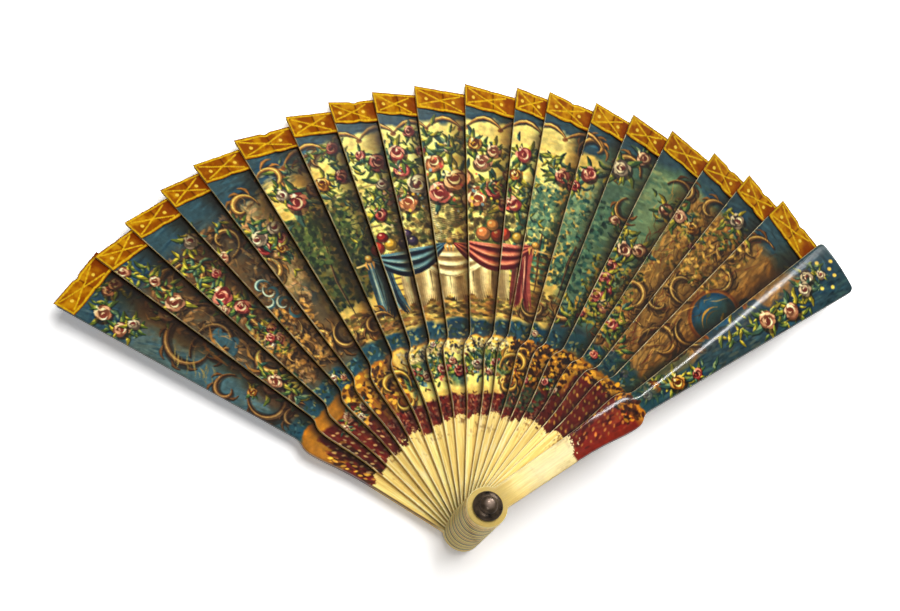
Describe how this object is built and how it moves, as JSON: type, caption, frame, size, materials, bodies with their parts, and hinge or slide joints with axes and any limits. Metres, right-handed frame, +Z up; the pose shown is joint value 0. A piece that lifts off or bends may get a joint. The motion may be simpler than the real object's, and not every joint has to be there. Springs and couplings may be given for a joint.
{
  "type": "folding hand fan",
  "caption": "Miniature folding fan of overlapping painted bone sticks with gold ribbon at their ends, open about a riveted pin.",
  "frame": {"origin": "middle of the flat foot of the rivet, on the table", "axes": "+Z up from the table, +Y from the rivet towards the middle of the open fan, +X along the fan's spread towards its front guard"},
  "size_m": [0.1608, 0.097, 0.0294],
  "materials": {
    "painted_bone": "gloss",
    "ribbon": "satin",
    "rivet": "dark patina"
  },
  "bodies": {
    "rear_guard": {"rear_guard": "painted_bone", "ribbon_01": "ribbon", "rivet_pin": "rivet", "front_collar": "rivet", "rear_collar": "rivet"},
    "stick_01": {"stick_01": "painted_bone", "ribbon_02": "ribbon"},
    "stick_02": {"stick_02": "painted_bone", "ribbon_03": "ribbon"},
    "stick_03": {"stick_03": "painted_bone", "ribbon_04": "ribbon"},
    "stick_04": {"stick_04": "painted_bone", "ribbon_05": "ribbon"},
    "stick_05": {"stick_05": "painted_bone", "ribbon_06": "ribbon"},
    "stick_06": {"stick_06": "painted_bone", "ribbon_07": "ribbon"},
    "stick_07": {"stick_07": "painted_bone", "ribbon_08": "ribbon"},
    "stick_08": {"stick_08": "painted_bone", "ribbon_09": "ribbon"},
    "stick_09": {"stick_09": "painted_bone", "ribbon_10": "ribbon"},
    "stick_10": {"stick_10": "painted_bone", "ribbon_11": "ribbon"},
    "stick_11": {"stick_11": "painted_bone", "ribbon_12": "ribbon"},
    "stick_12": {"stick_12": "painted_bone", "ribbon_13": "ribbon"},
    "stick_13": {"stick_13": "painted_bone", "ribbon_14": "ribbon"},
    "stick_14": {"stick_14": "painted_bone", "ribbon_15": "ribbon"},
    "stick_15": {"stick_15": "painted_bone", "ribbon_16": "ribbon"},
    "stick_16": {"stick_16": "painted_bone", "ribbon_17": "ribbon"},
    "stick_17": {"stick_17": "painted_bone", "ribbon_18": "ribbon"},
    "stick_18": {"stick_18": "painted_bone", "ribbon_19": "ribbon"},
    "front_guard": {"front_guard": "painted_bone"}
  },
  "joints": [
    {"name": "stick_01_swing", "type": "hinge", "parent": "rear_guard", "child": "stick_01", "pos_m": [0, 0, 0], "axis": [0.1257, 0.1464, 0.9812], "range_deg": [0, 7.6]},
    {"name": "stick_02_swing", "type": "hinge", "parent": "rear_guard", "child": "stick_02", "pos_m": [0, 0, 0], "axis": [0.1257, 0.1464, 0.9812], "range_deg": [0, 13.2]},
    {"name": "stick_03_swing", "type": "hinge", "parent": "rear_guard", "child": "stick_03", "pos_m": [0, 0, 0], "axis": [0.1257, 0.1464, 0.9812], "range_deg": [0, 19.3]},
    {"name": "stick_04_swing", "type": "hinge", "parent": "rear_guard", "child": "stick_04", "pos_m": [0, 0, 0], "axis": [0.1257, 0.1464, 0.9812], "range_deg": [0, 24.5]},
    {"name": "stick_05_swing", "type": "hinge", "parent": "rear_guard", "child": "stick_05", "pos_m": [0, 0, 0], "axis": [0.1257, 0.1464, 0.9812], "range_deg": [0, 30.6]},
    {"name": "stick_06_swing", "type": "hinge", "parent": "rear_guard", "child": "stick_06", "pos_m": [0, 0, 0], "axis": [0.1257, 0.1464, 0.9812], "range_deg": [0, 37.9]},
    {"name": "stick_07_swing", "type": "hinge", "parent": "rear_guard", "child": "stick_07", "pos_m": [0, 0, 0], "axis": [0.1257, 0.1464, 0.9812], "range_deg": [0, 43.7]},
    {"name": "stick_08_swing", "type": "hinge", "parent": "rear_guard", "child": "stick_08", "pos_m": [0, 0, 0], "axis": [0.1257, 0.1464, 0.9812], "range_deg": [0, 49.5]},
    {"name": "stick_09_swing", "type": "hinge", "parent": "rear_guard", "child": "stick_09", "pos_m": [0, 0, 0], "axis": [0.1257, 0.1464, 0.9812], "range_deg": [0, 55]},
    {"name": "stick_10_swing", "type": "hinge", "parent": "rear_guard", "child": "stick_10", "pos_m": [0, 0, 0], "axis": [0.1257, 0.1464, 0.9812], "range_deg": [0, 61.6]},
    {"name": "stick_11_swing", "type": "hinge", "parent": "rear_guard", "child": "stick_11", "pos_m": [0, 0, 0], "axis": [0.1257, 0.1464, 0.9812], "range_deg": [0, 68.4]},
    {"name": "stick_12_swing", "type": "hinge", "parent": "rear_guard", "child": "stick_12", "pos_m": [0, 0, 0], "axis": [0.1257, 0.1464, 0.9812], "range_deg": [0, 72.6]},
    {"name": "stick_13_swing", "type": "hinge", "parent": "rear_guard", "child": "stick_13", "pos_m": [0, 0, 0], "axis": [0.1257, 0.1464, 0.9812], "range_deg": [0, 78.8]},
    {"name": "stick_14_swing", "type": "hinge", "parent": "rear_guard", "child": "stick_14", "pos_m": [0, 0, 0], "axis": [0.1257, 0.1464, 0.9812], "range_deg": [0, 83.8]},
    {"name": "stick_15_swing", "type": "hinge", "parent": "rear_guard", "child": "stick_15", "pos_m": [0, 0, 0], "axis": [0.1257, 0.1464, 0.9812], "range_deg": [0, 89.2]},
    {"name": "stick_16_swing", "type": "hinge", "parent": "rear_guard", "child": "stick_16", "pos_m": [0, 0, 0], "axis": [0.1257, 0.1464, 0.9812], "range_deg": [0, 95.3]},
    {"name": "stick_17_swing", "type": "hinge", "parent": "rear_guard", "child": "stick_17", "pos_m": [0, 0, 0], "axis": [0.1257, 0.1464, 0.9812], "range_deg": [0, 100.6]},
    {"name": "stick_18_swing", "type": "hinge", "parent": "rear_guard", "child": "stick_18", "pos_m": [0, 0, 0], "axis": [0.1257, 0.1464, 0.9812], "range_deg": [0, 106]},
    {"name": "front_guard_swing", "type": "hinge", "parent": "rear_guard", "child": "front_guard", "pos_m": [0, 0, 0], "axis": [0.1257, 0.1464, 0.9812], "range_deg": [0, 113]}
  ],
  "couplings": [
    {"joint": "stick_01_swing", "follows": "front_guard_swing", "ratio": 0.067256},
    {"joint": "stick_02_swing", "follows": "front_guard_swing", "ratio": 0.11681},
    {"joint": "stick_03_swing", "follows": "front_guard_swing", "ratio": 0.1708},
    {"joint": "stick_04_swing", "follows": "front_guard_swing", "ratio": 0.21681},
    {"joint": "stick_05_swing", "follows": "front_guard_swing", "ratio": 0.2708},
    {"joint": "stick_06_swing", "follows": "front_guard_swing", "ratio": 0.3354},
    {"joint": "stick_07_swing", "follows": "front_guard_swing", "ratio": 0.38672},
    {"joint": "stick_08_swing", "follows": "front_guard_swing", "ratio": 0.43805},
    {"joint": "stick_09_swing", "follows": "front_guard_swing", "ratio": 0.48673},
    {"joint": "stick_10_swing", "follows": "front_guard_swing", "ratio": 0.54513},
    {"joint": "stick_11_swing", "follows": "front_guard_swing", "ratio": 0.60531},
    {"joint": "stick_12_swing", "follows": "front_guard_swing", "ratio": 0.64248},
    {"joint": "stick_13_swing", "follows": "front_guard_swing", "ratio": 0.69734},
    {"joint": "stick_14_swing", "follows": "front_guard_swing", "ratio": 0.74159},
    {"joint": "stick_15_swing", "follows": "front_guard_swing", "ratio": 0.78938},
    {"joint": "stick_16_swing", "follows": "front_guard_swing", "ratio": 0.84336},
    {"joint": "stick_17_swing", "follows": "front_guard_swing", "ratio": 0.89026},
    {"joint": "stick_18_swing", "follows": "front_guard_swing", "ratio": 0.93805}
  ]
}
